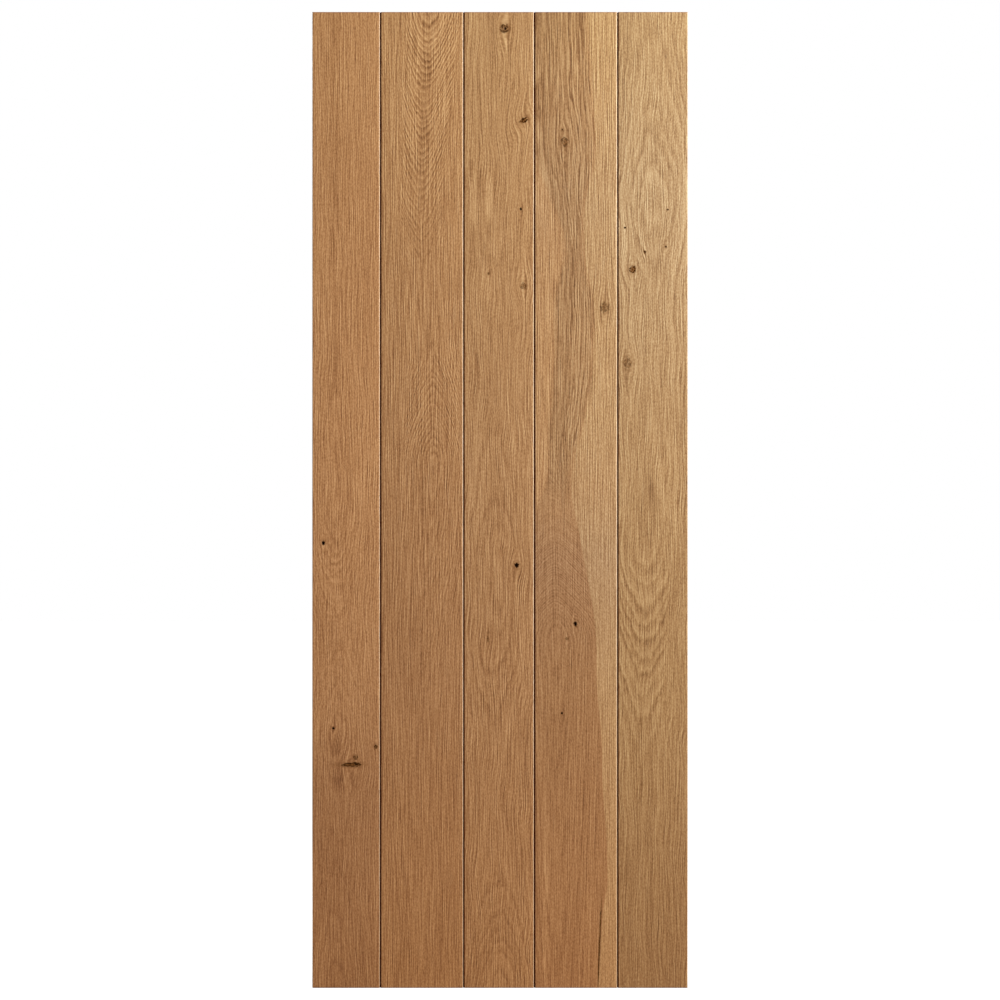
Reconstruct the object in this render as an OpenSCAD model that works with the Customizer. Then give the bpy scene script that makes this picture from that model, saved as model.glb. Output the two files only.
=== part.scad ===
// Ledged oak door leaf: five tongued and grooved boards, V-jointed on the face, screwed from
// behind to three chamfered ledges. The screws are counterbored and covered with oak plugs.
// Millimetres. +Z is up, the boarded face looks along -Y and the ledges along +Y.
// The origin is the middle of the leaf's foot, in width and in overall thickness.

/* [Leaf] */
// Height of the leaf, which every board runs in one length
leaf_h = 1981; // [1800:1:2150]
// Cover width of the left edge board, from the leaf's edge to the middle of its joint
left_board_w = 138; // [120:0.5:180]
// Cover width of each of the two wide boards, from joint to joint
wide_board_w = 169; // [140:0.5:200]
// Cover width of the middle board, from joint to joint
middle_board_w = 143.5; // [120:0.5:180]
// Cover width of the right edge board, from its joint to the leaf's edge
right_board_w = 142.5; // [120:0.5:180]
// Thickness of the boards
board_t = 20; // [18:0.5:28]
// Eased arris along the leaf's edges, its two ends and the back of the joints
arris = 0.8; // [0.3:0.1:1.5]

/* [Board joints] */
// Gap left open between two boards, so that the oak can move
joint_gap = 1.6; // [0.4:0.1:2]
// Chamfer on each face arris of a joint, half of its V
v_chamfer = 1.6; // [0.8:0.1:3]
// Thickness of the tongue
tongue_t = 6; // [4:0.5:8]
// Length of the tongue past its shoulder
tongue_l = 8; // [5:0.5:12]
// Lead-in chamfer on the tip of the tongue
tongue_lead = 1; // [0.4:0.1:1.5]
// Play between the tongue and each cheek of the groove
cheek_play = 0.2; // [0.1:0.05:0.5]
// Room left in the groove beyond the tip of the tongue
tip_play = 1.5; // [0.5:0.1:3]

/* [Ledges] */
// Width of a ledge, up the door
ledge_w = 140; // [90:1:180]
// Thickness of a ledge
ledge_t = 20; // [15:0.5:30]
// How far a ledge stops short of the leaf's edge, to clear the door stop
ledge_setback = 20; // [8:1:50]
// Chamfer round the back face of a ledge
ledge_chamfer = 8; // [2:0.5:14]
// Height of the bottom ledge's middle above the foot
bottom_ledge_h = 230; // [150:1:320]
// Height of the middle ledge's middle above the foot
middle_ledge_h = 990; // [850:1:1100]
// Drop from the leaf's head to the top ledge's middle
top_ledge_drop = 230; // [150:1:320]

/* [Screws and plugs] */
// Diameter of a screw over its thread
screw_d = 4; // [3:0.5:5]
// Diameter of a screw's countersunk head
screw_head_d = 8; // [7:0.5:9]
// Height of the straight rim on a screw's head
screw_rim = 0.4; // [0.2:0.1:0.8]
// Depth that a screw bites into a board
screw_bite = 13; // [8:0.5:15]
// Diameter of an oak plug
plug_d = 10; // [9.5:0.5:14]
// Length of an oak plug, from the ledge's back face to the screw's head
plug_l = 8; // [5:0.5:10]
// Clearance round a screw and a plug in their holes
hole_play = 0.05; // [0.02:0.01:0.1]

/* [Hidden] */
$fn = 48;

// How far a cut runs past the face that it opens
overrun = 1;
// Places of a crossing's two screws, from the middle of the board's bearing on the ledge
screw_across_share = 0.25;
screw_up_share = 0.2;

cover_w = [left_board_w, wide_board_w, middle_board_w, wide_board_w, right_board_w];
last_board = len(cover_w) - 1;
function sum_to(widths, i) = i == 0 ? 0 : sum_to(widths, i - 1) + widths[i - 1];
leaf_w = sum_to(cover_w, len(cover_w));
leaf_t = board_t + ledge_t;

// Planes from front to back: boarded face, back of the boards against the ledges, ledge faces
face_y = -leaf_t / 2;
bearing_y = face_y + board_t;
ledge_face_y = bearing_y + ledge_t;

// The tongue lies in the middle of the board's thickness, and the groove takes it with its play
tongue_front_y = face_y + (board_t - tongue_t) / 2;
tongue_back_y = tongue_front_y + tongue_t;
groove_front_y = tongue_front_y - cheek_play;
groove_back_y = tongue_back_y + cheek_play;
groove_depth = tongue_l - joint_gap + tip_play;

ledge_l = leaf_w - 2 * ledge_setback;
ledge_heights = [bottom_ledge_h, middle_ledge_h, leaf_h - top_ledge_drop];

// The head seats below the plug, and its 90 degree cone is as deep as it stands out from the shank
screw_cone = (screw_head_d - screw_d) / 2;
screw_head_y = ledge_face_y - plug_l;
screw_l = screw_head_y - bearing_y + screw_bite;

// Left and right sides of board i's cover, and the stretch of it that bears on a ledge
function cover_left(i) = sum_to(cover_w, i) - leaf_w / 2;
function cover_right(i) = cover_left(i) + cover_w[i];
function bearing_left(i) = max(cover_left(i), -ledge_l / 2);
function bearing_right(i) = min(cover_right(i), ledge_l / 2);

// Where the two screws of board i cross a ledge at height h, set on a diagonal against splitting
function screw_places(i, h) =
    let (
        middle = (bearing_left(i) + bearing_right(i)) / 2,
        across = screw_across_share * (bearing_right(i) - bearing_left(i)),
        up = screw_up_share * ledge_w
    )
    [[middle - across, h + up], [middle + across, h - up]];

// Edge outlines in plan. Right edges run from the face to the back, left edges from the back to the face
function plain_right(x) = [
    [x - arris, face_y], [x, face_y + arris], [x, bearing_y - arris], [x - arris, bearing_y]
];
function plain_left(x) = [
    [x + arris, bearing_y], [x, bearing_y - arris], [x, face_y + arris], [x + arris, face_y]
];
function tongued_right(x) = [
    [x - v_chamfer, face_y], [x, face_y + v_chamfer], [x, tongue_front_y],
    [x + tongue_l - tongue_lead, tongue_front_y], [x + tongue_l, tongue_front_y + tongue_lead],
    [x + tongue_l, tongue_back_y - tongue_lead], [x + tongue_l - tongue_lead, tongue_back_y],
    [x, tongue_back_y], [x, bearing_y - arris], [x - arris, bearing_y]
];
function grooved_left(x) = [
    [x + arris, bearing_y], [x, bearing_y - arris], [x, groove_back_y],
    [x + groove_depth, groove_back_y], [x + groove_depth, groove_front_y], [x, groove_front_y],
    [x, face_y + v_chamfer], [x + v_chamfer, face_y]
];
function board_outline(i) = concat(
    i == last_board ? plain_right(cover_right(i)) : tongued_right(cover_right(i) - joint_gap / 2),
    i == 0 ? plain_left(cover_left(i)) : grooved_left(cover_left(i) + joint_gap / 2)
);

// Extrudes a Y-Z outline along X, over the length l that is centred on x
module along_x(x, l) {
    translate([x - l / 2, 0, 0])
        rotate([90, 0, 90])
            linear_extrude(l)
                children();
}

// Places its children at a screw's axis, with +Z pointing from the ledge's face to the boards
module at_screw(place) {
    translate([place[0], ledge_face_y, place[1]])
        rotate([90, 0, 0])
            children();
}

// A board's length seen from its side, with the arrises of its two ends eased
module eased_length() {
    polygon([
        [face_y + arris, 0], [bearing_y - arris, 0], [bearing_y, arris],
        [bearing_y, leaf_h - arris], [bearing_y - arris, leaf_h], [face_y + arris, leaf_h],
        [face_y, leaf_h - arris], [face_y, arris]
    ]);
}

// Pilot hole for one screw, from the board's back to the screw's point
module pilot_hole() {
    translate([0, 0, ledge_t - overrun])
        cylinder(h = screw_bite + overrun, d = screw_d + 2 * hole_play);
}

// Counterbore for the plug, seat for the head and clearance hole for the shank
module counterbore() {
    plug_hole_d = plug_d + 2 * hole_play;
    head_hole_d = screw_head_d + 2 * hole_play;
    shank_hole_d = screw_d + 2 * hole_play;
    translate([0, 0, -overrun])
        cylinder(h = plug_l + overrun, d = plug_hole_d);
    translate([0, 0, plug_l])
        cylinder(h = screw_rim, d = head_hole_d);
    translate([0, 0, plug_l + screw_rim])
        cylinder(h = screw_cone, d1 = head_hole_d, d2 = shank_hole_d);
    translate([0, 0, plug_l])
        cylinder(h = ledge_t - plug_l + overrun, d = shank_hole_d);
}

// Board i, from the left: moulded edges, eased ends and the pilot holes at each ledge
module board(i) {
    reach = cover_w[i] + 2 * tongue_l;
    difference() {
        intersection() {
            linear_extrude(leaf_h)
                polygon(board_outline(i));
            along_x((cover_left(i) + cover_right(i)) / 2, reach)
                eased_length();
        }
        for (h = ledge_heights, place = screw_places(i, h))
            at_screw(place)
                pilot_hole();
    }
}

module left_edge_board() {
    color("peru") board(0);
}

module left_wide_board() {
    color("burlywood") board(1);
}

module middle_board() {
    color("tan") board(2);
}

module right_wide_board() {
    color("burlywood") board(3);
}

module right_edge_board() {
    color("tan") board(4);
}

// Ledge with its middle at height h: chamfered round its back face, square against the boards
module ledge(h) {
    chamfer_y = ledge_face_y - ledge_chamfer;
    end_x = ledge_l / 2;
    top_z = h + ledge_w / 2;
    foot_z = h - ledge_w / 2;
    difference() {
        intersection() {
            translate([0, 0, foot_z])
                linear_extrude(ledge_w)
                    polygon([
                        [-end_x, bearing_y], [end_x, bearing_y], [end_x, chamfer_y],
                        [end_x - ledge_chamfer, ledge_face_y], [ledge_chamfer - end_x, ledge_face_y],
                        [-end_x, chamfer_y]
                    ]);
            along_x(0, ledge_l)
                polygon([
                    [bearing_y, foot_z], [chamfer_y, foot_z], [ledge_face_y, foot_z + ledge_chamfer],
                    [ledge_face_y, top_z - ledge_chamfer], [chamfer_y, top_z], [bearing_y, top_z]
                ]);
        }
        for (i = [0 : last_board], place = screw_places(i, h))
            at_screw(place)
                counterbore();
    }
}

module top_ledge() {
    color("burlywood") ledge(ledge_heights[2]);
}

module middle_ledge() {
    color("burlywood") ledge(ledge_heights[1]);
}

module bottom_ledge() {
    color("burlywood") ledge(ledge_heights[0]);
}

// One countersunk wood screw, from its head at z = 0 to its point, as a turned profile
module screw() {
    shank_r = screw_d / 2;
    point = screw_d;
    rotate_extrude()
        polygon([
            [0, 0], [screw_head_d / 2, 0], [screw_head_d / 2, screw_rim],
            [shank_r, screw_rim + screw_cone], [shank_r, screw_l - point], [0, screw_l]
        ]);
}

module ledge_screws() {
    color("silver")
        for (h = ledge_heights, i = [0 : last_board], place = screw_places(i, h))
            at_screw(place)
                translate([0, 0, plug_l])
                    screw();
}

module screw_plugs() {
    color("peru")
        for (h = ledge_heights, i = [0 : last_board], place = screw_places(i, h))
            at_screw(place)
                cylinder(h = plug_l, d = plug_d);
}

left_edge_board();
left_wide_board();
middle_board();
right_wide_board();
right_edge_board();
top_ledge();
middle_ledge();
bottom_ledge();
ledge_screws();
screw_plugs();
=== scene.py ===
import math

import bmesh
import bpy
import numpy as np
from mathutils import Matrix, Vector


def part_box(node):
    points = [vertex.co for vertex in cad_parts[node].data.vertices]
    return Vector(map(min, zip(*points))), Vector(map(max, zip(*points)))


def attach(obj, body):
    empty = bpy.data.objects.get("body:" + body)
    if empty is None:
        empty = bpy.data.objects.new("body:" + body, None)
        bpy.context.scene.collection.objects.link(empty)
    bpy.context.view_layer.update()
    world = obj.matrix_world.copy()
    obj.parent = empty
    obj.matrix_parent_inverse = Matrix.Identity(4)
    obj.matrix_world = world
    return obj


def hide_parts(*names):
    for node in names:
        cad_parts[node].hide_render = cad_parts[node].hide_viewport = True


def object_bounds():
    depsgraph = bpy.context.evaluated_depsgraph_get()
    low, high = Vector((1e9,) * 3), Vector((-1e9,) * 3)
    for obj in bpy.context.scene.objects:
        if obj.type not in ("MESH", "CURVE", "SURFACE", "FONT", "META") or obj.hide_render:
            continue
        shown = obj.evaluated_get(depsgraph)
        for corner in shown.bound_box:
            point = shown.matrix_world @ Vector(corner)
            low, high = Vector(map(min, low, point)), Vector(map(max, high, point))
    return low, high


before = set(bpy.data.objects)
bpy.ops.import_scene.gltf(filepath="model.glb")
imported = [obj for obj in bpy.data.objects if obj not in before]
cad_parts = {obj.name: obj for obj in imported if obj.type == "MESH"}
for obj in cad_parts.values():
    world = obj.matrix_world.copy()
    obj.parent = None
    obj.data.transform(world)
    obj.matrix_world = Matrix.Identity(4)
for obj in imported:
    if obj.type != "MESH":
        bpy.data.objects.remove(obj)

cad_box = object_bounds()
leaf_low, leaf_high = cad_box
MM = 0.001

# The left edge board: a planed and brushed oak board with a plain left edge and a tongue on its right
# edge, which stands dry in the next board's groove. It is sawn near the heart, so its rings show as one
# long narrow oval, and it has small open knots and one branch knot in its lower half.
V_CHAMFER = 1.6 * MM
ARRIS = 0.8 * MM
CORNER_WEAR = 0.35 * MM
TONGUE_LENGTH = 8 * MM
TONGUE_THICK = 6 * MM
TONGUE_LEAD = 1 * MM
JOINT_GAP = 1.6 * MM
CHEEK_PLAY = 0.2 * MM
TIP_PLAY = 1.5 * MM
COLUMN_STEP = 4 * MM
ROW_STEP = 7 * MM
KNOT_CUTS = 4
TOUCHING = 0.01 * MM
SHARP_EDGE = math.radians(28)


def worn(corners, cut):
    """The outline with each corner taken off in a small curve, as handling leaves it."""
    made = []
    for i, corner in enumerate(corners):
        before = corners[i - 1] - corner
        after = corners[(i + 1) % len(corners)] - corner
        reach = min(cut, np.linalg.norm(before) / 3, np.linalg.norm(after) / 3)
        first = corner + before / np.linalg.norm(before) * reach
        last = corner + after / np.linalg.norm(after) * reach
        made += [first, (first + last) / 4 + corner / 2, last]
    return made


def stepped(points, step):
    """The closed outline with points added, so that no side is longer than the step."""
    made = []
    for i, start in enumerate(points):
        end = points[(i + 1) % len(points)]
        parts = max(1, math.ceil(np.linalg.norm(end - start) / step))
        made += [start + (end - start) * k / parts for k in range(parts)]
    return np.array(made)


def board_section(node, grooved, tongued):
    """The board's section in plan, inside its CAD box, running from the right of its face round the back."""
    low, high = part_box(node)
    face, back, left = low.y, high.y, low.x
    right = high.x - (TONGUE_LENGTH if tongued else 0)
    tongue_front = (face + back - TONGUE_THICK) / 2
    tongue_back = tongue_front + TONGUE_THICK
    right_cut = V_CHAMFER if tongued else ARRIS
    left_cut = V_CHAMFER if grooved else ARRIS
    corners = [(right - right_cut, face), (right, face + right_cut)]
    if tongued:
        tip = right + TONGUE_LENGTH
        corners += [(right, tongue_front), (tip - TONGUE_LEAD, tongue_front)]
        corners += [(tip, tongue_front + TONGUE_LEAD), (tip, tongue_back - TONGUE_LEAD)]
        corners += [(tip - TONGUE_LEAD, tongue_back), (right, tongue_back)]
    corners += [(right, back - ARRIS), (right - ARRIS, back), (left + ARRIS, back), (left, back - ARRIS)]
    if grooved:
        groove_front, groove_back = tongue_front - CHEEK_PLAY, tongue_back + CHEEK_PLAY
        groove_end = left + TONGUE_LENGTH - JOINT_GAP + TIP_PLAY
        corners += [(left, groove_back), (groove_end, groove_back)]
        corners += [(groove_end, groove_front), (left, groove_front)]
    corners += [(left, face + left_cut), (left + left_cut, face)]
    return stepped(worn(np.array(corners), CORNER_WEAR), COLUMN_STEP)


def drawn_in(section, by):
    """The section drawn in along its own normals, for the eased arris at a board's end."""
    along = np.roll(section, -1, 0) - np.roll(section, 1, 0)
    along /= np.linalg.norm(along, axis=1)[:, None]
    return section + by * np.stack([-along[:, 1], along[:, 0]], 1)


def sawn_blank(node, grooved, tongued, knots):
    """The board's mesh: its section carried up the leaf, eased at both ends and cut finer round each knot."""
    section = board_section(node, grooved, tongued)
    half_eased = 0.3 * ARRIS
    heights = np.arange(leaf_low.z + ARRIS, leaf_high.z - ARRIS, ROW_STEP)
    heights = np.insert(heights, 1, leaf_low.z + 3 * ARRIS)
    heights = np.append(heights[heights < leaf_high.z - 4 * ARRIS], leaf_high.z - 3 * ARRIS)
    levels = [leaf_low.z, leaf_low.z + half_eased, *heights]
    levels += [leaf_high.z - ARRIS, leaf_high.z - half_eased, leaf_high.z]
    rows = [drawn_in(section, ARRIS), drawn_in(section, half_eased)] + [section] * (len(heights) + 1)
    rows += [drawn_in(section, half_eased), drawn_in(section, ARRIS)]
    n = len(section)
    verts = [(x, y, z) for row, z in zip(rows, levels) for x, y in row]
    faces = [
        (r * n + i, r * n + (i + 1) % n, (r + 1) * n + (i + 1) % n, (r + 1) * n + i)
        for r in range(len(levels) - 1) for i in range(n)
    ]
    faces += [tuple(range(n - 1, -1, -1)), tuple(range((len(levels) - 1) * n, len(levels) * n))]
    mesh = bpy.data.meshes.new(node + "_oak")
    mesh.from_pydata(verts, [], faces)
    shaping = bmesh.new()
    shaping.from_mesh(mesh)
    fine = set()
    for knot in knots:
        wide = knot["r"] * 2.2 + 5
        tall = knot["r"] * knot["tall"] * 1.4 + 6
        for face in shaping.faces:
            middle = face.calc_center_median()
            on_face = middle.y < leaf_low.y + TOUCHING
            dz = middle.z / MM - knot["z"]
            dx = (middle.x - leaf_low.x) / MM - knot["x"] + knot["lean"] * dz
            if on_face and abs(dx) < wide and abs(dz) < tall:
                fine.update(face.edges)
    edges = sorted(fine, key=lambda e: e.index)
    bmesh.ops.subdivide_edges(shaping, edges=edges, cuts=KNOT_CUTS, use_grid_fill=True)
    shaping.to_mesh(mesh)
    shaping.free()
    return mesh


def along_board(height, stations):
    """A value that drifts up the board, eased between (height, value) stations."""
    step, half = 4.0, 17
    grid = np.arange(-400.0, 2400.0, step)
    line = np.interp(grid, *np.array(stations, float).T)
    easing = np.hanning(2 * half + 1)
    smooth = np.convolve(np.pad(line, half, "edge"), easing / easing.sum(), "valid")
    return np.interp(height, grid, smooth)


def eased(value, low, high):
    """0 below the low value, 1 above the high one, and eased between."""
    share = np.clip((value - low) / (high - low), 0, 1)
    return share * share * (3 - 2 * share)


def keep(mesh, name, values):
    """Stores a number, or three, for each vertex, for the oak finish to read. One not stored reads as 0."""
    values = np.ascontiguousarray(values, np.float32)
    if values.ndim == 1:
        mesh.attributes.new(name, "FLOAT", "POINT").data.foreach_set("value", values)
    else:
        mesh.attributes.new(name, "FLOAT_VECTOR", "POINT").data.foreach_set("vector", values.ravel())


def add_piece(mesh, node, finish):
    """Puts a finished mesh in the scene, in the place of its CAD node."""
    mesh.polygons.foreach_set("use_smooth", np.ones(len(mesh.polygons), bool))
    mesh.set_sharp_from_angle(angle=SHARP_EDGE)
    mesh.materials.append(finish)
    piece = bpy.data.objects.new(mesh.name, mesh)
    bpy.context.scene.collection.objects.link(piece)
    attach(piece, "root")
    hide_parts(node)


KNOT_HOLLOW = 2.5 * MM
KNOT_FAR = 4.0
SOUND_KNOT = dict(tall=1, lean=0, turn=0.75, brown=0.8, open=-1)
USUAL_RING = 4.6


def oak_board(node, grooved, tongued, pith, figure, tone, ring=USUAL_RING, flare=((0, 0), (1981, 0)),
              brushed=((0, 1), (1981, 1)), wavy=0, knots=(), stains=(), ripples=(), bold=None,
              wild=0, wild_from=1000, sapwood=None):
    """Makes one board. All places are in mm, across from the leaf's left edge and up from its foot.
    pith: (height, across, depth behind the face) of the tree's heart, which sets the figure of the rings.
    figure: (height, strength) of the rings. tone: (height, red, green, blue) of the board's colour: its own
    tone, and on every board a redder foot, which is painted warm shade.
    ring: width of a year's ring. flare: (height, growth) of the rings where the trunk widens, which draws
    them out in Us and Vs. brushed: (height, strength) of the fibres. wavy: how far the grain sways.
    knots turn the grain, stains are darker or paler streaks, and ripples curl across the grain.
    bold: (height, left, right) of a band of strong rings. wild: how far they wave above the height
    wild_from, where the band is dark and crowded, with plain pale wood to its left.
    sapwood: (height, across, share) of the line where sapwood begins and of how far it differs."""
    knots = [{**SOUND_KNOT, **knot} for knot in knots]
    mesh = sawn_blank(node, grooved, tongued, knots)
    place = np.empty(len(mesh.vertices) * 3)
    mesh.vertices.foreach_get("co", place)
    place = place.reshape(-1, 3)
    across = (place[:, 0] - leaf_low.x) / MM
    depth = (place[:, 1] - leaf_low.y) / MM
    up = place[:, 2] / MM

    # Where each point stood in the trunk, and the lay of the fibres through it
    heart_across = along_board(up, [(h, a) for h, a, d in pith])
    heart_depth = along_board(up, [(h, d) for h, a, d in pith])
    trunk = np.stack([across - heart_across, depth - heart_depth, up], 1)
    lay = np.stack([across, depth, up], 1)
    sway = np.sin(up / 37 + across / 23) + np.sin(up / 61 - across / 31 + 2)
    sway = wavy * (sway + 0.6 * np.sin(up / 19 + across / 14 + 4))
    trunk[:, 0] += sway
    lay[:, 0] += sway

    # The rings are strong in the bold band and weak beside it. Where they are wild, they crowd as the band
    # narrows, and its rims are dark
    strength = along_board(up, figure)
    shade = np.stack([along_board(up, [(t[0], t[k]) for t in tone]) for k in (1, 2, 3)], 1)
    stain = np.zeros(len(up))
    if bold:
        left_rim, right_rim = (along_board(up, [(b[0], b[k]) for b in bold]) for k in (1, 2))
        from_left = eased(across, left_rim - 5, left_rim + 5)
        band = from_left * (1 - eased(across, right_rim - 6, right_rim + 4))
        strength *= 0.2 + 0.8 * band
    if wild:
        above = eased(up, wild_from - 40, wild_from + 40)
        crowding = 110 / (70 + 0.45 * (right_rim - left_rim))
        crowded = (across - (left_rim + right_rim) / 2) * crowding + 60
        trunk[:, 0] += above * (crowded - trunk[:, 0])
        dark_rims = 0.1 * np.exp(-((across - right_rim + 5) / 6) ** 2)
        dark_rims += 0.08 * np.exp(-((across - left_rim) / 4) ** 2)
        stain += above * dark_rims
        shade *= (1.1 - 0.1 * from_left - 0.12 * band * above)[:, None]
        keep(mesh, "curl", wild * MM * band * above)

    # A knot turns the grain aside and browns the face, and an open one is a hollow
    on_face = np.clip(1 - depth / 3, 0, 1)
    nearest = np.full(len(up), KNOT_FAR)
    knot_place = np.tile([KNOT_FAR, KNOT_FAR, SOUND_KNOT["open"]], (len(up), 1))
    knot_brown = np.zeros(len(up))
    for knot in knots:
        dz = up - knot["z"]
        dx = across - knot["x"] + knot["lean"] * dz
        reach, rise = knot.get("reach", (3.2 * knot["r"], 6 * knot["r"] * knot["tall"]))
        turned = dx * knot["turn"] * np.exp(-(dx / reach) ** 2 - (dz / rise) ** 2)
        trunk[:, 0] -= turned
        lay[:, 0] -= turned
        inside = np.stack([dx / knot["r"], dz / knot["r"] / knot["tall"], np.full(len(up), knot["open"])], 1)
        spread = np.hypot(inside[:, 0], inside[:, 1])
        close = spread < nearest
        nearest[close] = spread[close]
        knot_place[close] = inside[close]
        knot_brown[close] = knot["brown"] * on_face[close]
        sunk = np.clip((knot["open"] - spread) / 0.3 + 0.5, 0, 1)
        place[:, 1] += sunk * on_face * KNOT_HOLLOW
    mesh.vertices.foreach_set("co", place.ravel())

    for mark in stains:
        dz = up - mark["z"]
        dx = across - mark["x"] + mark.get("lean", 0) * dz
        stain += mark["dark"] * np.exp(-(dx / mark["w"]) ** 2 - (dz / mark["h"]) ** 4)
    for curl in ripples:
        dx, dz = across - curl["x"], up - curl["z"]
        wave = np.sin(2 * np.pi * (dz + 0.15 * np.abs(dx)) / curl["apart"])
        stain += curl["dark"] * wave * np.exp(-(dx / curl["w"]) ** 2 - (dz / curl["h"]) ** 4)

    keep(mesh, "trunk", trunk * MM)
    keep(mesh, "lay", lay * MM)
    keep(mesh, "tone", shade)
    keep(mesh, "growth", np.full(len(up), 1 / (ring * MM)))
    keep(mesh, "figure", strength)
    keep(mesh, "flare", along_board(up, flare) * MM)
    keep(mesh, "stain", stain)
    keep(mesh, "brushed", along_board(up, brushed) - 1)
    keep(mesh, "knot", knot_place)
    keep(mesh, "knot_near", KNOT_FAR - nearest)
    keep(mesh, "knot_brown", knot_brown)
    if sapwood:
        keep(mesh, "sapwood", (across - along_board(up, [s[:2] for s in sapwood])) * MM)
        keep(mesh, "sap_share", along_board(up, [s[::2] for s in sapwood]))

    # The chamfer at a board's right-hand edge, which faces the light, is marked for a painted highlight. The
    # chamfer at a grooved left-hand edge, which is turned from the light, and the inside of the joints are
    # marked for painted shade. The sawn ends take the oil in another way
    low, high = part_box(node)
    left = (low.x - leaf_low.x) / MM
    right = (high.x - leaf_low.x - (TONGUE_LENGTH if tongued else 0)) / MM
    below_face, below_chamfer, near_back = 0.15, 2.2, 19
    keep(mesh, "chamfer_highlight", (across > right - 2) & (depth > below_face) & (depth < below_chamfer))
    # Painted shade: the chamfer turned from the light and the inside of the joint are marked to be coloured
    # dark
    joint = (across < left + 2) & (depth > below_face) if grooved else np.zeros(len(up), bool)
    if tongued:
        joint |= (across > right - 0.1) & (depth > below_chamfer)
    at_end = (place[:, 2] < leaf_low.z + TOUCHING) | (place[:, 2] > leaf_high.z - TOUCHING)
    keep(mesh, "joint", joint & (depth < near_back) & ~at_end)
    end_depth = 1.01 * ARRIS
    keep(mesh, "end", (place[:, 2] < leaf_low.z + end_depth) | (place[:, 2] > leaf_high.z - end_depth))
    add_piece(mesh, node, oak)


def add_node(tree, kind, inputs=None, **settings):
    """Adds one node with its settings and its inputs set or linked, and returns its outputs."""
    made = tree.nodes.new(kind)
    for name, value in settings.items():
        setattr(made, name, value)
    for socket, value in (inputs or {}).items():
        if isinstance(value, bpy.types.NodeSocket):
            tree.links.new(value, made.inputs[socket])
        else:
            made.inputs[socket].default_value = value
    return made.outputs


# Oak's colours: the shades of its wood, the sapwood's tint, and its knots' wood and bark. Also the near black
# painted as shade in an open knot's hollow, the pale painted highlight on the chamfers that face the light,
# and the dark of oil-soaked end grain, which also paints the shade in the joints
OAK_SHADES = [(0.0, (0.120, 0.050, 0.017)), (0.35, (0.240, 0.115, 0.044)),
              (0.6, (0.365, 0.197, 0.083)), (1.0, (0.560, 0.350, 0.172))]
SAPWOOD_TINT = (1.27, 1.47, 1.6)
KNOT_WOOD = (0.15, 0.058, 0.014, 1)
KNOT_BARK = (0.026, 0.008, 0.001, 1)
PAINTED_HOLLOW_SHADE = (0.010, 0.004, 0.002, 1)
PAINTED_CHAMFER_HIGHLIGHT = (0.72, 0.54, 0.34, 1)
SOAKED_END_AND_JOINT_SHADE = (0.11, 0.012, 0.0005, 1)


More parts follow.
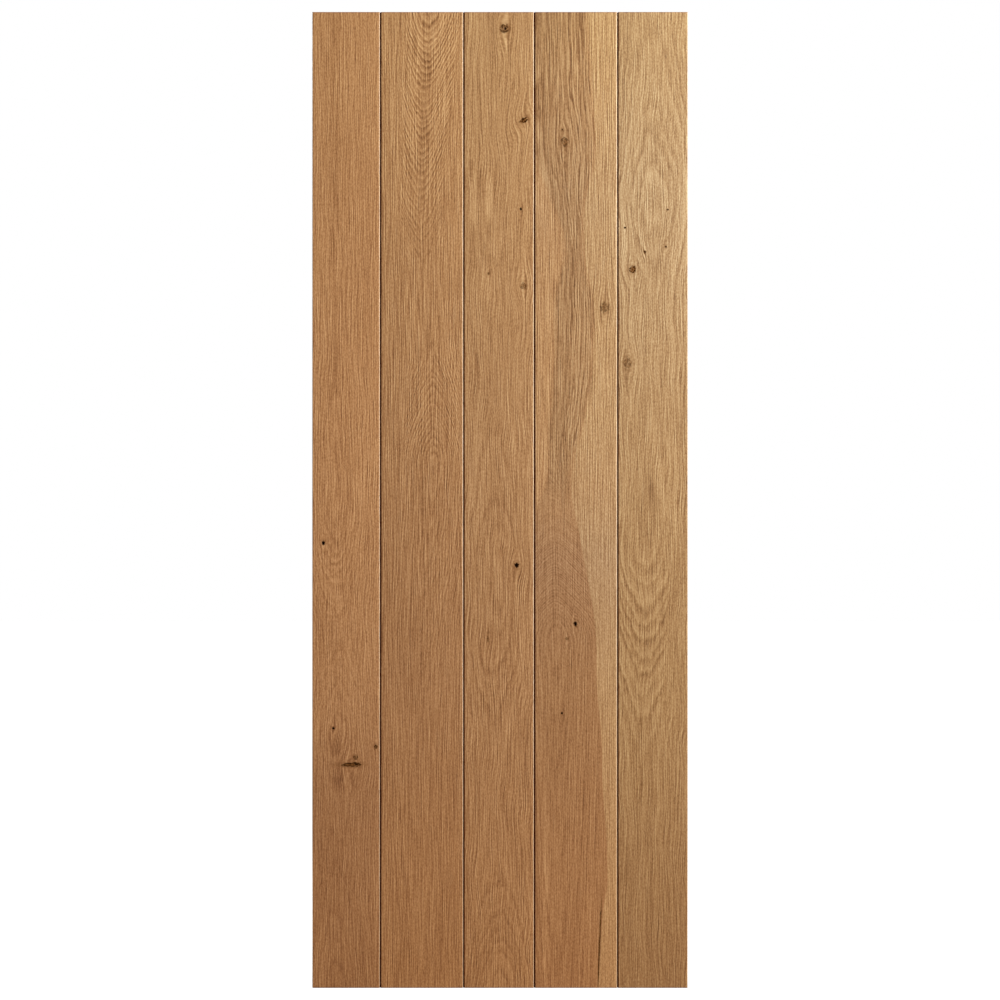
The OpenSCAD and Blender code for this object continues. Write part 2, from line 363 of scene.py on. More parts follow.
def oak_finish(name):
    """Oak, brushed and oiled. Rings are drawn in the trunk's own coordinates, and pores and fibres along the
    lay of the grain. Each piece keeps both at its vertices, so that the grain runs on round its edges and
    shows as end grain at its ends."""
    made = bpy.data.materials.new(name)
    made.use_nodes = True
    tree = made.node_tree
    tree.nodes.clear()

    def kept(attribute):
        return add_node(tree, "ShaderNodeAttribute", attribute_name=attribute)

    def reckon(operation, first, second=0.0, third=0.0):
        return add_node(tree, "ShaderNodeMath", {0: first, 1: second, 2: third}, operation=operation)[0]

    def vector(operation, first, second=(0, 0, 0)):
        return add_node(tree, "ShaderNodeVectorMath", {0: first, 1: second}, operation=operation)

    def rise(value, low, high):
        """0 below the low value, 1 above the high one, and eased between."""
        limits = {0: value, 1: low, 2: high, 3: 0.0, 4: 1.0}
        return add_node(tree, "ShaderNodeMapRange", limits, interpolation_type="SMOOTHSTEP")[0]

    def fall(value, low, high):
        """1 below the low value, 0 above the high one, and eased between."""
        return reckon("SUBTRACT", 1.0, rise(value, low, high))

    def noise(place, detail, rough):
        """Noise about 0."""
        inputs = {"Vector": place, "Scale": 1.0, "Detail": detail, "Roughness": rough}
        return reckon("SUBTRACT", add_node(tree, "ShaderNodeTexNoise", inputs)[0], 0.5)

    def grain(across, along, detail=2.0, rough=0.55, shift=0.0):
        """Noise drawn out along the fibres, with so many waves in a metre across them and along them."""
        scaled = vector("MULTIPLY", lay, (across, across, along))[0]
        return noise(vector("ADD", scaled, (shift, -shift, shift))[0], detail, rough)

    def lines(place):
        """Fine lines: noise, less the same noise moved half a line to each side."""
        sides = [noise(vector("ADD", place, (step, 0.5 * step, 0.0))[0], 0, 0.5) for step in (0.8, -0.8)]
        return reckon("MULTIPLY_ADD", reckon("ADD", *sides), -0.5, noise(place, 0, 0.5))

    def by_year(waves):
        """Noise that changes from ring to ring, with so many waves in a metre of the tree's growth."""
        inputs = {"W": reckon("MULTIPLY", radius, waves), "Detail": 1.0, "Scale": 1.0}
        return add_node(tree, "ShaderNodeTexNoise", inputs, noise_dimensions="1D")[0]

    def mixed(share, first, second):
        return add_node(tree, "ShaderNodeMix", {0: share, 6: first, 7: second}, data_type="RGBA")[2]

    trunk, lay = kept("trunk")["Vector"], kept("lay")["Vector"]
    parts = add_node(tree, "ShaderNodeSeparateXYZ", {0: trunk})
    flat = add_node(tree, "ShaderNodeCombineXYZ", {0: parts[0], 1: parts[1], 2: 0.0})[0]
    radius = vector("LENGTH", flat)["Value"]
    slant = reckon("ABSOLUTE", reckon("DIVIDE", parts[0], radius))

    # Rings wander slowly up the trunk and quiver over a few millimetres
    radius = reckon("ADD", radius, kept("flare")["Fac"])
    radius = reckon("MULTIPLY_ADD", grain(16, 2.4, 2, 0.5), 10 * MM, radius)
    radius = reckon("MULTIPLY_ADD", grain(110, 14, 1, 0.5, 7.3), 4 * MM, radius)
    radius = reckon("MULTIPLY_ADD", grain(50, 9, 2, 0.6, 9.1), kept("curl")["Fac"], radius)
    years = reckon("MULTIPLY_ADD", by_year(55.0), 1.8, reckon("MULTIPLY", radius, kept("growth")["Fac"]))

    # Each ring has open spring wood, stronger in some years and broken in dashes, and a pale late edge
    season = reckon("FRACT", years)
    year = reckon("FLOOR", years)
    vigour = add_node(tree, "ShaderNodeTexWhiteNoise", {"W": year}, noise_dimensions="1D")[0]
    spring = reckon("MULTIPLY", rise(season, 0.0, 0.16), fall(season, 0.16, 0.65))
    spring = reckon("MULTIPLY", spring, reckon("MULTIPLY_ADD", vigour, 0.8, 0.25))
    dashes = rise(grain(330, 55, 1, 0.5, 4.4), -0.15, 0.15)
    spring = reckon("MULTIPLY", spring, reckon("MULTIPLY_ADD", dashes, 0.9, 0.5))
    figure = reckon("MULTIPLY", kept("figure")["Fac"], reckon("MULTIPLY_ADD", slant, 0.6, 0.65))
    late = reckon("MULTIPLY", rise(season, 0.6, 0.85), fall(season, 0.92, 1.0))
    rings = reckon("MULTIPLY", reckon("MULTIPLY_ADD", late, -0.5, reckon("SUBTRACT", spring, 0.15)), figure)

    # Pores are short dark dashes, thickest in the spring wood. Fibres are fine lines, up the trunk and with
    # the rings, and bands are years of slow and of fast growth
    pits = rise(grain(520, 45, 2, 0.6, 3.1), 0.02, 0.2)
    pores = reckon("MULTIPLY", pits, reckon("MULTIPLY_ADD", spring, 0.7, 0.4))
    fibres = lines(vector("MULTIPLY", lay, (520, 520, 16))[0])
    fibres = reckon("MULTIPLY_ADD", fibres, kept("brushed")["Fac"], fibres)
    ring_place = add_node(tree, "ShaderNodeCombineXYZ", {0: radius, 1: parts[0], 2: parts[2]})[0]
    threads = lines(vector("MULTIPLY", ring_place, (520, 40, 18))[0])
    threads = reckon("MULTIPLY", threads, reckon("MULTIPLY", slant, rise(kept("figure")["Fac"], 0.1, 0.7)))
    flecks = grain(450, 220, 1, 0.5, 8.8)
    strands = grain(95, 2.4, 2, 0.6, 5.9)
    streaks = grain(150, 12, 2, 0.6, 6.6)
    clouds = grain(22, 3.5, 3, 0.55, 1.3)
    bands = reckon("SUBTRACT", by_year(75.0), 0.5)
    band_share = reckon("MULTIPLY_ADD", figure, 0.25, 0.08)
    stain = reckon("MULTIPLY", kept("stain")["Fac"], reckon("MULTIPLY_ADD", streaks, 5.0, 0.7))

    # All of them make the wood lighter or darker, on oak's own scale of shades
    light = 0.58
    for part, share in ((rings, -0.42), (pores, -0.15), (fibres, 0.7), (threads, 0.5), (flecks, 0.65),
                        (strands, 0.1), (clouds, 0.15), (bands, band_share)):
        light = reckon("MULTIPLY_ADD", part, share, light)
    light = reckon("SUBTRACT", light, stain)
    shades = tree.nodes.new("ShaderNodeValToRGB")
    for at, _ in OAK_SHADES[1:-1]:
        shades.color_ramp.elements.new(at)
    for element, (at, shade) in zip(shades.color_ramp.elements, OAK_SHADES):
        element.position = at
        element.color = (*shade, 1)
    tree.links.new(light, shades.inputs[0])
    colour = vector("MULTIPLY", shades.outputs[0], kept("tone")["Vector"])[0]

    # Sapwood is paler and yellower
    into_sap = reckon("MULTIPLY_ADD", grain(60, 5, 2, 0.6, 2.2), 6 * MM, kept("sapwood")["Fac"])
    into_sap = reckon("MULTIPLY", rise(into_sap, -1 * MM, 1.5 * MM), kept("sap_share")["Fac"])
    colour = mixed(into_sap, colour, vector("MULTIPLY", colour, SAPWOOD_TINT)[0])

    # A knot is a branch cut across: brown wood with its own fine rings and cracks inside a dark bark line.
    # The hollow of an open knot is coloured near black, which is painted shade
    knot = add_node(tree, "ShaderNodeSeparateXYZ", {0: kept("knot")["Vector"]})
    branch = add_node(tree, "ShaderNodeCombineXYZ", {0: knot[0], 1: knot[1], 2: parts[2]})[0]
    brown = kept("knot_brown")["Fac"]
    ragged = noise(vector("MULTIPLY", branch, (1.8, 1.8, 60))[0], 2, 0.6)
    spread = reckon("MULTIPLY_ADD", ragged, 1.5, reckon("SUBTRACT", KNOT_FAR, kept("knot_near")["Fac"]))
    cracks = noise(vector("MULTIPLY", branch, (3.2, 3.2, 90))[0], 2, 0.6)
    shadow = reckon("MULTIPLY", fall(spread, 0.8, 2.6), 0.3)
    shadow = reckon("MULTIPLY_ADD", fall(spread, 0.7, 1.3), 0.6, shadow)
    shadow = reckon("MULTIPLY", shadow, brown)
    bark = reckon("MULTIPLY", rise(spread, 0.35, 0.7), fall(spread, 0.9, 1.3))
    broken = rise(noise(vector("MULTIPLY", branch, (1.6, 1.6, 75))[0], 0, 0.5), -0.08, 0.06)
    turns = reckon("MULTIPLY", rise(cracks, 0.0, 0.08), fall(spread, 0.7, 1.2))
    black = reckon("MULTIPLY", reckon("MAXIMUM", reckon("MULTIPLY", bark, broken), turns), brown)
    hollow = reckon("MULTIPLY_ADD", cracks, 0.9, reckon("SUBTRACT", spread, knot[2]))
    hollow_shade = fall(hollow, -0.15, 0.12)
    for share, wood in ((shadow, KNOT_WOOD), (black, KNOT_BARK), (hollow_shade, PAINTED_HOLLOW_SHADE)):
        colour = mixed(share, colour, wood)

    # Painted shade darkens the joints and the chamfers turned from the light. Oil soaks into the ends, which
    # dry darker and duller. The chamfers that face the light get a painted highlight, paler, shinier and
    # smoother
    chamfer_highlight, end, joint = (kept(place)["Fac"] for place in ("chamfer_highlight", "end", "joint"))
    colour = mixed(reckon("MULTIPLY", chamfer_highlight, 0.3), colour, PAINTED_CHAMFER_HIGHLIGHT)
    colour = mixed(reckon("MAXIMUM", joint, reckon("MULTIPLY", end, 0.3)), colour, SOAKED_END_AND_JOINT_SHADE)
    shine = reckon("MULTIPLY_ADD", end, -0.15, reckon("MULTIPLY_ADD", chamfer_highlight, 0.6, 0.2))
    dull = reckon("MAXIMUM", reckon("MAXIMUM", joint, hollow_shade), reckon("MAXIMUM", shadow, black))
    shine = reckon("MULTIPLY", shine, reckon("SUBTRACT", 1.0, dull))
    roughness = reckon("MULTIPLY_ADD", chamfer_highlight, -0.08, reckon("MULTIPLY_ADD", pits, 0.16, 0.46))
    roughness = reckon("MULTIPLY_ADD", end, 0.35, roughness)

    # The brush leaves fibres standing and pores and spring wood sunk
    relief = reckon("MULTIPLY_ADD", pits, -0.5, reckon("ADD", fibres, threads))
    relief = reckon("MULTIPLY_ADD", rings, -0.3, relief)
    bump = add_node(tree, "ShaderNodeBump", {"Height": relief, "Strength": 0.5, "Distance": 0.4 * MM})[0]
    shader = add_node(
        tree, "ShaderNodeBsdfPrincipled",
        {"Base Color": colour, "Roughness": roughness, "Normal": bump, "Specular IOR Level": shine},
    )[0]
    add_node(tree, "ShaderNodeOutputMaterial", {0: shader})
    return made


oak = oak_finish("oiled_oak")

oak_board(
    "left_edge_board", grooved=False, tongued=True,
    pith=[(0, 50, 48), (120, 50, 56), (260, 50, 68), (400, 50, 62), (513, 52, 46), (586, 54, 54),
          (680, 52, 68), (740, 50, 70), (820, 48, 58), (899, 47, 44), (960, 47, 38), (1040, 47, 36),
          (1120, 47, 38), (1232, 47, 46), (1350, 47, 50), (1981, 46, 54)],
    wavy=1.2,
    ring=3.6,
    figure=[(0, 0.24), (600, 0.28), (1000, 0.38), (1400, 0.22), (1981, 0.15)],
    tone=[(0, 1.0, 0.83, 0.72), (420, 0.98, 0.85, 0.80), (560, 1.14, 1.03, 0.99),
          (1100, 1.18, 1.09, 1.05), (1981, 1.03, 0.97, 0.90)],
    brushed=[(0, 0.98), (1981, 0.92)],
    knots=[dict(x=22.3, z=903, r=3.6, tall=1.2, open=0.8, brown=0.6),
           dict(x=42.4, z=527, r=2.8, tall=0.8, open=0.8),
           dict(x=79, z=453, r=18, tall=0.2, brown=1, reach=(26, 40), turn=0.5),
           dict(x=89, z=454, r=9, tall=0.45, brown=1, open=0.3, turn=0),
           dict(x=88, z=468, r=4.5, brown=0.7, turn=0),
           dict(x=129, z=490, r=3.2, tall=1.3, brown=0.9)],
    stains=[dict(x=47, z=498, w=13, h=22, dark=0.26), dict(x=66, z=436, w=26, h=34, dark=0.18),
            dict(x=46.6, z=1600, w=6, h=380, dark=0.08), dict(x=41, z=1490, w=5, h=45, dark=0.12),
            dict(x=49, z=1575, w=5, h=45, dark=0.1), dict(x=70, z=1718, w=6, h=55, dark=0.07),
            dict(x=51, z=1270, w=6, h=45, dark=0.1), dict(x=52, z=1100, w=7, h=40, dark=0.09),
            dict(x=100, z=1000, w=14, h=70, dark=-0.06)],
    ripples=[dict(x=49, z=846, w=16, h=30, apart=13, dark=0.09)],
)

# The left wide board: flat-sawn and free of knots, grooved on the left and tongued on the right. Its
# rings open in nested Vs at the head and in one tall oval at hand height.
oak_board(
    "left_wide_board", grooved=True, tongued=True,
    pith=[(0, 215, 60), (540, 205, 50), (665, 200, 40), (800, 220, 34), (910, 238, 26), (1000, 244, 20),
          (1090, 246, 16), (1180, 244, 20), (1270, 243, 20), (1400, 234, 20), (1500, 224, 22),
          (1600, 219, 26), (1704, 222, 30), (1800, 226, 34), (1883, 234, 34), (1981, 239, 34)],
    flare=[(0, 0), (1080, 0), (1280, 57), (1480, 57), (1981, -100)],
    ring=4.2,
    wavy=0.6,
    figure=[(0, 0.2), (600, 0.2), (1000, 0.45), (1250, 0.55), (1450, 0.25), (1580, 0.45), (1750, 0.75),
            (1981, 0.85)],
    brushed=[(0, 1), (600, 1.1), (1100, 1.3), (1981, 1.25)],
    tone=[(0, 1.09, 0.92, 0.78), (620, 0.99, 0.89, 0.85), (1100, 0.99, 0.93, 0.90),
          (1981, 1.0, 0.99, 0.94)],
    stains=[dict(x=229, z=1790, w=11, h=200, lean=-0.0525, dark=0.1)],
    bold=[(0, 130, 310), (1000, 180, 300), (1250, 195, 300), (1400, 180, 290), (1600, 178, 262),
          (1981, 192, 300)],
)

# The middle board: a narrow one, grooved and tongued, with knots from its head down to a third of its
# height. Each knot turns the grain round it, and some are open, with the hole left as it grew.
oak_board(
    "middle_board", grooved=True, tongued=True,
    pith=[(0, 379, 52), (60, 379, 60), (200, 375, 84), (400, 370, 92), (560, 368, 84), (650, 369, 74),
          (760, 370, 66), (860, 372, 64), (1000, 372, 76), (1200, 368, 88), (1400, 366, 86),
          (1560, 366, 76), (1650, 368, 76), (1760, 370, 80), (1900, 372, 76), (1981, 372, 74)],
    wavy=1.8,
    figure=[(0, 0.38), (300, 0.25), (650, 0.35), (1200, 0.2), (1981, 0.25)],
    brushed=[(0, 1.2), (1981, 1.0)],
    tone=[(0, 1.06, 0.91, 0.79), (620, 1.01, 0.94, 0.91), (1000, 1.01, 0.99, 0.99),
          (1981, 0.92, 0.95, 0.92)],
    knots=[dict(x=391, z=1948, r=8.5, tall=1.05, brown=0.8, open=0.2, reach=(26, 60), turn=1.0),
           dict(x=429, z=1761, r=6.5, tall=0.85, brown=1, lean=-0.5, reach=(32, 48), turn=0.6),
           dict(x=423, z=1581, r=2.2, tall=1.3, open=0.8),
           dict(x=358, z=1450, r=2, tall=1.5),
           dict(x=428.5, z=1425, r=5, tall=1.4, brown=0.6, reach=(22, 40)),
           dict(x=414.5, z=858, r=4.5, tall=1.1, open=0.75, brown=0.8),
           dict(x=356.7, z=708, r=1.6, tall=4, brown=0.7)],
    stains=[dict(x=328, z=1595, w=9, h=50, dark=-0.17), dict(x=358, z=1605, w=10, h=52, dark=-0.18),
            dict(x=342, z=1632, w=5, h=36, dark=0.24), dict(x=320, z=1655, w=5, h=24, dark=0.2),
            dict(x=370, z=1618, w=3, h=50, dark=0.22), dict(x=326, z=1505, w=8, h=42, dark=0.22),
            dict(x=357, z=1534, w=5, h=24, dark=0.12), dict(x=357, z=1202, w=5, h=50, dark=0.16),
            dict(x=334, z=1255, w=5, h=60, dark=0.18), dict(x=414, z=842, w=8, h=16, dark=0.3)],
)

# The right wide board: heartwood on the left and pale sapwood down its right side, grooved and tongued.
# Coarse dark rings run through its upper half, and fine chevrons stand below its middle.
oak_board(
    "right_wide_board", grooved=True, tongued=True,
    pith=[(0, 500, 66), (400, 500, 50), (680, 497, 34), (740, 495, 26), (800, 494, 15), (940, 493, 15),
          (1000, 475, 50), (1060, 460, 86), (1981, 460, 86)],
    flare=[(0, 0), (735, 0), (960, 202), (1981, 202)],
    ring=5,
    figure=[(0, 0.3), (600, 0.25), (740, 0.3), (800, 0.38), (880, 0.38), (940, 0.15), (1000, 0.15),
            (1060, 0.4), (1130, 0.8), (1981, 0.9)],
    brushed=[(0, 0.7), (800, 0.75), (1100, 1.2), (1981, 1.3)],
    tone=[(0, 1.06, 0.89, 0.77), (620, 0.92, 0.85, 0.82), (870, 0.84, 0.80, 0.85), (990, 1.0, 1.0, 1.04),
          (1080, 1.0, 1.02, 1.05), (1300, 0.96, 0.97, 0.98), (1600, 0.88, 0.91, 0.95),
          (1800, 0.90, 0.91, 0.90), (1981, 0.82, 0.82, 0.76)],
    knots=[dict(x=511.7, z=1718, r=7, tall=1.3, brown=0.65, reach=(26, 60), turn=0.6),
           dict(x=507, z=1742, r=1.6, open=0.5),
           dict(x=594, z=1381, r=9, tall=1.1, brown=0.55, reach=(24, 45), turn=0.6),
           dict(x=534, z=739, r=3.6, tall=1.5, open=0.7),
           dict(x=517, z=709, r=3, brown=0.6),
           dict(x=506.5, z=557.5, r=2.2, open=0.85),
           dict(x=583, z=86, r=1.4, tall=60, lean=-0.04, brown=1, turn=0)],
    stains=[dict(x=531, z=1427, w=5, h=74, dark=0.2),
            dict(x=490, z=1408, w=3, h=34, dark=0.2), dict(x=472, z=190, w=4, h=200, dark=-0.24)],
    bold=[(0, 430, 586), (600, 430, 580), (765, 430, 571), (850, 430, 554), (930, 430, 541),
          (1000, 470, 520), (1060, 486, 521), (1120, 478, 542), (1200, 488, 561), (1280, 493, 569),
          (1390, 491, 573), (1430, 495, 562), (1480, 519, 547), (1540, 510, 545), (1600, 484, 548),
          (1640, 470, 562), (1700, 445, 577), (1800, 430, 567), (1981, 430, 555)],
    wild=11,
    sapwood=[(0, 578, 0.85), (160, 588, 0.9), (200, 600, 0.95), (320, 596, 1), (400, 588, 1),
             (490, 590, 1), (600, 578, 1), (700, 577, 1), (765, 571, 1), (850, 554, 1), (920, 543, 0.85),
             (1000, 524, 0.4), (1060, 527, 0.35), (1120, 545, 0.45), (1200, 563, 0.5), (1280, 571, 0.5),
             (1390, 574, 0.5), (1480, 551, 0.5), (1600, 551, 0.5), (1640, 566, 0.5), (1700, 579, 0.55),
             (1800, 569, 0.62), (1981, 557, 0.62)],
)

# The right edge board: pale, close to the sapwood, grooved on the left with a plain right edge. A
# cluster of small knots lies in its upper half, and long Us and Vs fill its lower half.
oak_board(
    "right_edge_board", grooved=True, tongued=False,
    pith=[(0, 668, 95), (391, 672, 95), (860, 677, 95), (960, 684, 95), (1250, 688, 101),
          (1400, 690, 101), (1500, 692, 93), (1610, 695, 85), (1700, 694, 93), (1800, 692, 103),
          (1981, 690, 115)],
    flare=[(0, 0), (480, 0), (600, -12), (860, -46), (960, -50), (1981, -50)],
    ring=4.9,
    wavy=1.6,
    figure=[(0, 0.3), (450, 0.35), (560, 0.5), (680, 0.55), (840, 0.55), (1000, 0.4), (1200, 0.3),
            (1500, 0.4), (1610, 0.46), (1700, 0.4), (1981, 0.25)],
    bold=[(0, 600, 790), (460, 600, 790), (580, 620, 716), (900, 626, 724), (1020, 600, 790),
          (1981, 600, 790)],
    tone=[(0, 0.89, 0.82, 0.72), (620, 0.96, 1.0, 0.97), (1100, 1.0, 1.10, 1.16),
          (1600, 0.97, 1.15, 1.34), (1981, 0.87, 0.99, 1.03)],
    knots=[dict(x=651, z=1458.5, r=6.5, tall=1.05, brown=1, reach=(26, 36), turn=0.7),
           dict(x=640, z=1269, r=8, tall=1.3, brown=0.5, reach=(24, 50), turn=0.8),
           dict(x=621, z=1545.5, r=2, open=0.7),
           dict(x=634.5, z=1543, r=2, open=0.7),
           dict(x=721.5, z=1580, r=2.2, open=0.4),
           dict(x=717.5, z=1504.5, r=2.4, open=0.4),
           dict(x=675, z=1494, r=2.6, open=0.4)],
    stains=[dict(x=688, z=990, w=6, h=44, dark=0.18), dict(x=672, z=1745, w=4, h=52, dark=0.1),
            dict(x=700, z=1745, w=4, h=52, dark=0.1), dict(x=668, z=1212, w=4, h=62, lean=-0.1, dark=0.13),
            dict(x=711, z=1240, w=5, h=92, dark=0.12),
            dict(x=687, z=1690, w=13, h=80, dark=-0.06)],
)

# The three ledges: oak boards screwed across the back of the leaf, set in from both edges, with a wide
# chamfer run round the face that shows. Their grain lies across the leaf.
LEDGE_CHAMFER = 8 * MM
LEDGE_WEAR = 1.2 * MM
LEDGE_FIGURE = 0.8
PLUG_HOLE = 5.05 * MM
PLUG_DEPTH = 8 * MM
HOLE_EASE = 0.3 * MM
SCREW_ACROSS = 0.25
SCREW_UP = 0.2
TONGUED_BOARDS = ("left_edge_board", "left_wide_board", "middle_board", "right_wide_board")
CIRCLE = [(math.cos(2 * math.pi * k / 32), math.sin(2 * math.pi * k / 32)) for k in range(32)]


def screw_places(ledge):
    """Where the screws go through a ledge: two for each board, on a diagonal of the part it bears on."""
    low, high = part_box(ledge)
    level, lift = (low.z + high.z) / 2, SCREW_UP * (high.z - low.z)
    places = []
    for board in (*TONGUED_BOARDS, "right_edge_board"):
        board_low, board_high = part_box(board)
        tongue = TONGUE_LENGTH if board in TONGUED_BOARDS else 0
        left = max(board_low.x - JOINT_GAP / 2, low.x)
        right = min(board_high.x - tongue + JOINT_GAP / 2, high.x)
        middle, across = (left + right) / 2, SCREW_ACROSS * (right - left)
        places += [(middle - across, level + lift), (middle + across, level - lift)]
    return places


def oak_ledge(node, heart, tone):
    """Makes one ledge. heart: how far its tree's heart lies below its middle and behind its face, in mm, and
    how much it slopes."""
    low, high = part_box(node)
    plate = bmesh.new()
    rings = []
    for y, cut in ((low.y, 0), (high.y - LEDGE_CHAMFER, 0), (high.y, LEDGE_CHAMFER)):
        corners = [(low.x + cut, low.z + cut), (high.x - cut, low.z + cut),
                   (high.x - cut, high.z - cut), (low.x + cut, high.z - cut)]
        rings.append([plate.verts.new((x, y, z)) for x, z in corners])
    plate.faces.new(rings[0])
    for lower, upper in zip(rings, rings[1:]):
        for i in range(4):
            plate.faces.new([lower[i], upper[i], upper[(i + 1) % 4], lower[(i + 1) % 4]])
    plate.faces.new(rings[2][::-1])
    bmesh.ops.bevel(plate, geom=list(plate.edges), offset=LEDGE_WEAR, segments=3, profile=0.5, affect="EDGES")

    # The face that shows is opened for the plug holes and filled round them again
    front = max(plate.faces, key=lambda f: f.calc_center_median().y * 100 + f.calc_area())
    rim = list(front.edges)
    plate.faces.remove(front)
    for x, z in screw_places(node):
        levels = [(high.y, PLUG_HOLE + HOLE_EASE), (high.y - HOLE_EASE, PLUG_HOLE)]
        levels += [(high.y - PLUG_DEPTH, PLUG_HOLE)]
        circles = [[plate.verts.new((x + r * c, y, z + r * s)) for c, s in CIRCLE] for y, r in levels]
        for outer, inner in zip(circles, circles[1:]):
            for k in range(len(CIRCLE)):
                plate.faces.new([outer[k], outer[k - 1], inner[k - 1], inner[k]])
        plate.faces.new(circles[-1])
        rim += [plate.edges.get((circles[0][k - 1], circles[0][k])) for k in range(len(CIRCLE))]
    bmesh.ops.triangle_fill(plate, edges=rim, use_beauty=True, normal=(0, 1, 0))
    bmesh.ops.recalc_face_normals(plate, faces=list(plate.faces))
    mesh = bpy.data.meshes.new(node + "_oak")
    plate.to_mesh(mesh)
    plate.free()

    place = np.empty(len(mesh.vertices) * 3)
    mesh.vertices.foreach_get("co", place)
    x, y, z = place.reshape(-1, 3).T
    below, behind, slope = heart
    from_heart = z - (low.z + high.z) / 2 + below * MM + slope * x
    deep = high.y - y + behind * MM + 1.6 * slope * x
    keep(mesh, "trunk", np.stack([from_heart, deep, x + below], 1))
    keep(mesh, "lay", np.stack([z, y, x + below], 1))
    keep(mesh, "tone", np.tile(tone, (len(x), 1)))
    keep(mesh, "growth", np.full(len(x), 1 / (USUAL_RING * MM)))
    keep(mesh, "figure", np.full(len(x), LEDGE_FIGURE))
    add_piece(mesh, node, oak)


oak_ledge("bottom_ledge", heart=(20, 50, 0.06), tone=(1.02, 1.0, 0.98))
oak_ledge("middle_ledge", heart=(-30, 70, -0.05), tone=(0.95, 0.94, 0.92))
oak_ledge("top_ledge", heart=(12, 40, 0.04), tone=(1.05, 1.04, 1.04))

# The screws: bright zinc-plated steel, turned, out of sight under the plugs. They keep their CAD shape.
ZINC_DARK = (0.50, 0.48, 0.44, 1)
ZINC_BRIGHT = (0.74, 0.72, 0.68, 1)
steel = bpy.data.materials.new("zinc_steel")
steel.use_nodes = True
plating = steel.node_tree
plating.nodes.clear()
spot = add_node(plating, "ShaderNodeTexCoord")["Object"]
blotch = add_node(plating, "ShaderNodeTexNoise", {"Vector": spot, "Scale": 900.0, "Detail": 3.0})[0]
turned = add_node(plating, "ShaderNodeTexNoise", {"Vector": spot, "Scale": 4000.0, "Detail": 2.0})[0]
zinc = add_node(plating, "ShaderNodeMix", {0: blotch, 6: ZINC_DARK, 7: ZINC_BRIGHT}, data_type="RGBA")[2]
dull = add_node(plating, "ShaderNodeMapRange", {0: blotch, 1: 0.3, 2: 0.7, 3: 0.28, 4: 0.45})[0]
marks = add_node(plating, "ShaderNodeBump", {"Height": turned, "Strength": 0.3, "Distance": 0.05 * MM})[0]
bright = add_node(
    plating, "ShaderNodeBsdfPrincipled",
    {"Base Color": zinc, "Metallic": 1.0, "Roughness": dull, "Normal": marks},
)[0]
add_node(plating, "ShaderNodeOutputMaterial", {0: bright})
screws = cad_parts["ledge_screws"]
screws.data.materials.clear()
screws.data.materials.append(steel)

# The plugs: turned oak pellets glued into the ledges over the screws and planed flush, with their grain
# set along the ledge's. Each is cut from another piece of oak, so they differ in shade.
PLUG_RADIUS = 5 * MM
PLUG_EASE = 0.25 * MM
PLUG_HEART = 50 * MM
chance = np.random.default_rng(7)
pellets = bmesh.new()
trunks, tones = [], []
for ledge in ("bottom_ledge", "middle_ledge", "top_ledge"):
    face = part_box(ledge)[1].y
    for x, z in screw_places(ledge):
        levels = [(face - PLUG_DEPTH, PLUG_RADIUS), (face - PLUG_EASE, PLUG_RADIUS)]
        levels += [(face, PLUG_RADIUS - PLUG_EASE)]
        circles = [[pellets.verts.new((x + r * c, y, z + r * s)) for c, s in CIRCLE] for y, r in levels]
        for lower, upper in zip(circles, circles[1:]):
            for k in range(len(CIRCLE)):
                pellets.faces.new([lower[k - 1], lower[k], upper[k], upper[k - 1]])
        pellets.faces.new(circles[0])
        pellets.faces.new(circles[-1][::-1])
        turn, away, shade = chance.normal(0, 0.2), chance.uniform(20, 90), chance.uniform(0.5, 0.72)
        for vert in sum(circles, []):
            dx, dz = vert.co.x - x, vert.co.z - z
            from_heart = dz * math.cos(turn) + dx * math.sin(turn) + away * MM
            trunks.append((from_heart, face - vert.co.y + PLUG_HEART, dx + x * 3 + z))
            tones.append((shade, shade * 0.97, shade * 0.93))
bmesh.ops.recalc_face_normals(pellets, faces=list(pellets.faces))
pellet_mesh = bpy.data.meshes.new("screw_plugs_oak")
pellets.to_mesh(pellet_mesh)
pellets.free()
keep(pellet_mesh, "trunk", np.array(trunks))
keep(pellet_mesh, "lay", np.array(trunks))
keep(pellet_mesh, "tone", np.array(tones))
keep(pellet_mesh, "growth", np.full(len(tones), 1 / (USUAL_RING * MM)))
keep(pellet_mesh, "figure", np.full(len(tones), LEDGE_FIGURE))
add_piece(pellet_mesh, "screw_plugs", oak)

# The floor: a white sweep that the leaf stands on. It shows white and takes the leaf's soft shadow.
FLOOR_SIZE = 60
bpy.ops.mesh.primitive_plane_add(size=FLOOR_SIZE, location=(0, 0, 0))
floor = bpy.context.object
floor.name = "floor"
white = bpy.data.materials.new("white_floor")
white.use_nodes = True
paint = white.node_tree
paint.nodes.clear()


def seen_direct(tree):
    """1 for rays that show the backdrop itself: straight to the camera, mirrored or through glass."""
    path = add_node(tree, "ShaderNodeLightPath")
    shown = path["Is Camera Ray"]
    for kind in ("Is Glossy Ray", "Is Transmission Ray"):
        shown = add_node(tree, "ShaderNodeMath", {0: shown, 1: path[kind]}, operation="MAXIMUM")[0]
    return shown


matt = add_node(paint, "ShaderNodeBsdfDiffuse", {"Color": (0.25, 0.25, 0.25, 1)})[0]
pale = add_node(paint, "ShaderNodeBsdfDiffuse", {"Color": (0.4, 0.4, 0.4, 1)})[0]
glow = add_node(paint, "ShaderNodeEmission", {"Color": (1, 1, 1, 1), "Strength": 0.9})[0]
sweep = add_node(paint, "ShaderNodeAddShader", {0: pale, 1: glow})[0]
lit = add_node(paint, "ShaderNodeMixShader", {0: seen_direct(paint), 1: matt, 2: sweep})[0]
add_node(paint, "ShaderNodeOutputMaterial", {0: lit})
floor.data.materials.append(white)

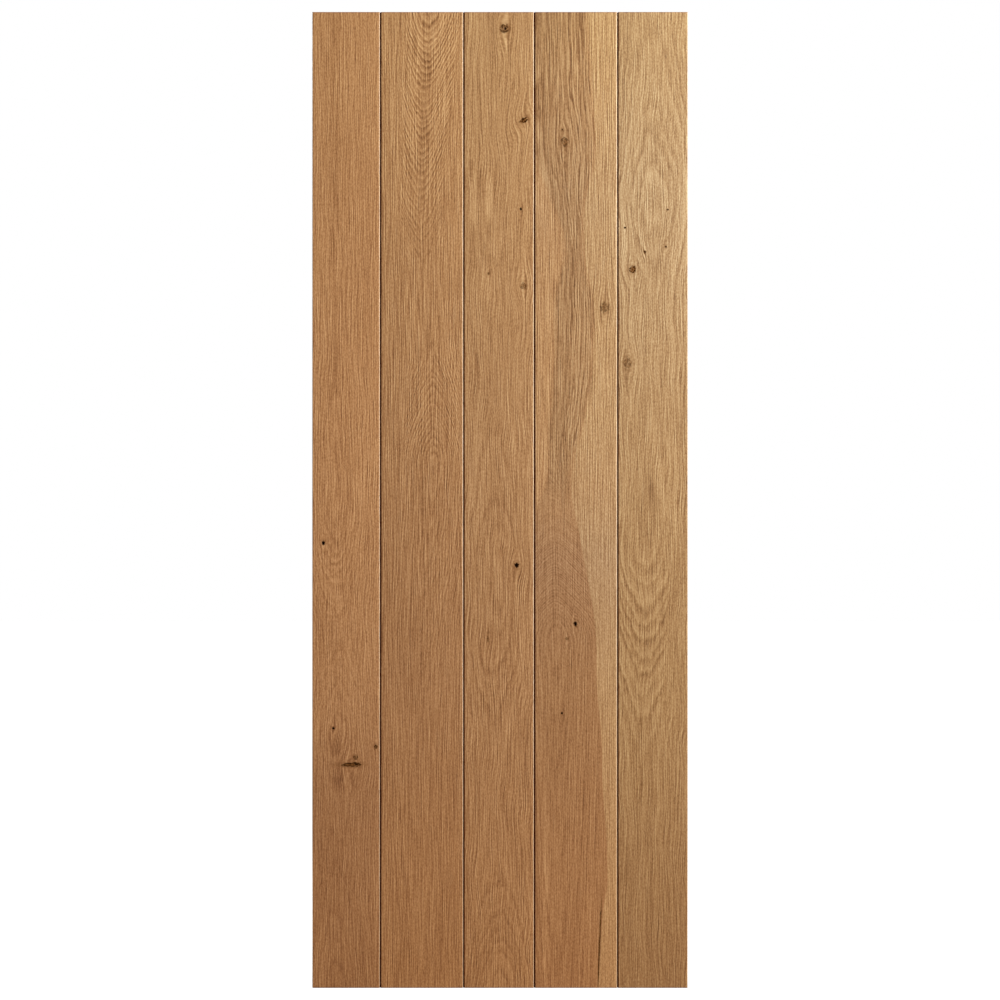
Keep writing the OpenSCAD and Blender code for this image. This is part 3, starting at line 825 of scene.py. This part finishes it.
# Studio light: a key softbox high to the right, which rakes the grain, a tall panel beside the leaf, which
# lights the joints' chamfers, a lamp behind for the ledges, and a warm fill from all round.
WARM_FILL = (1.0, 0.86, 0.73, 1)
world = bpy.data.worlds.new("studio")
bpy.context.scene.world = world
world.use_nodes = True
air = world.node_tree
air.nodes.clear()
fill = add_node(air, "ShaderNodeBackground", {"Color": WARM_FILL, "Strength": 0.45})[0]
backdrop = add_node(air, "ShaderNodeBackground", {"Color": (1, 1, 1, 1), "Strength": 1.0})[0]
both = add_node(air, "ShaderNodeMixShader", {0: seen_direct(air), 1: fill, 2: backdrop})[0]
add_node(air, "ShaderNodeOutputWorld", {0: both})


def softbox(name, place, aim, width, height, watts):
    """A rectangular lamp, turned to a point, which lights the leaf and isn't seen itself."""
    lamp = bpy.data.lights.new(name, "AREA")
    lamp.shape = "RECTANGLE"
    lamp.size, lamp.size_y, lamp.energy = width, height, watts
    stand = bpy.data.objects.new(name, lamp)
    bpy.context.scene.collection.objects.link(stand)
    stand.location = place
    stand.rotation_euler = (Vector(aim) - Vector(place)).to_track_quat("-Z", "Y").to_euler()
    stand.visible_camera = False


softbox("key", place=(1.8, -1.3, 2.9), aim=(0, 0, 1.0), width=0.6, height=0.9, watts=100)
softbox("side_panel", place=(2.45, -0.85, 1.4), aim=(0, -0.02, 1.2), width=1.0, height=2.2, watts=55)
softbox("back_light", place=(-2.0, 2.4, 2.2), aim=(0, 0, 1.0), width=0.8, height=0.8, watts=120)

# The camera, square to the boarded face from far off, as the photograph is taken. The leaf's height
# fills 976 of the picture's 1000 pixels.
CAMERA_DISTANCE = 10.0
PICTURE_HEIGHT = (leaf_high.z - leaf_low.z) * 1000 / 976
lens = bpy.data.cameras.new("camera")
lens.lens = lens.sensor_width * CAMERA_DISTANCE / PICTURE_HEIGHT
camera = bpy.data.objects.new("camera", lens)
bpy.context.scene.collection.objects.link(camera)
camera.location = (0, leaf_low.y - CAMERA_DISTANCE, (leaf_low.z + leaf_high.z) / 2)
camera.rotation_euler = (math.radians(90), 0, 0)
bpy.context.scene.camera = camera
bpy.context.scene.view_settings.view_transform = "Standard"
